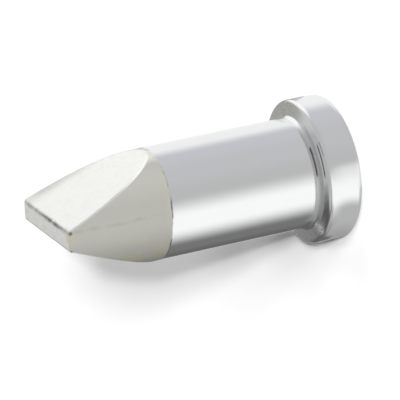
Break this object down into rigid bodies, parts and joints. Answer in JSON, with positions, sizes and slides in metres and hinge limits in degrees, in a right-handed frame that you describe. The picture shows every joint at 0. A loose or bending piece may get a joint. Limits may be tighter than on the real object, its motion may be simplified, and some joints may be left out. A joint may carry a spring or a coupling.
{
  "type": "soldering iron tip",
  "caption": "Chisel-shaped soldering iron tip: a hollow chrome-plated barrel with a collar at its back end and a tinned wedge at its front end",
  "frame": {"origin": "centre of the collar's rear face, on which the tip stands", "axes": "+Z along the barrel's axis towards the chisel, +X along the chisel's working edge, +Y out of one facet"},
  "size_m": [0.0104, 0.0104, 0.0223],
  "materials": {
    "plated_metal": "polished plating on the barrel and the collar, matte tinning on the chisel"
  },
  "bodies": {
    "root": {"soldering_tip": "plated_metal"}
  },
  "joints": []
}
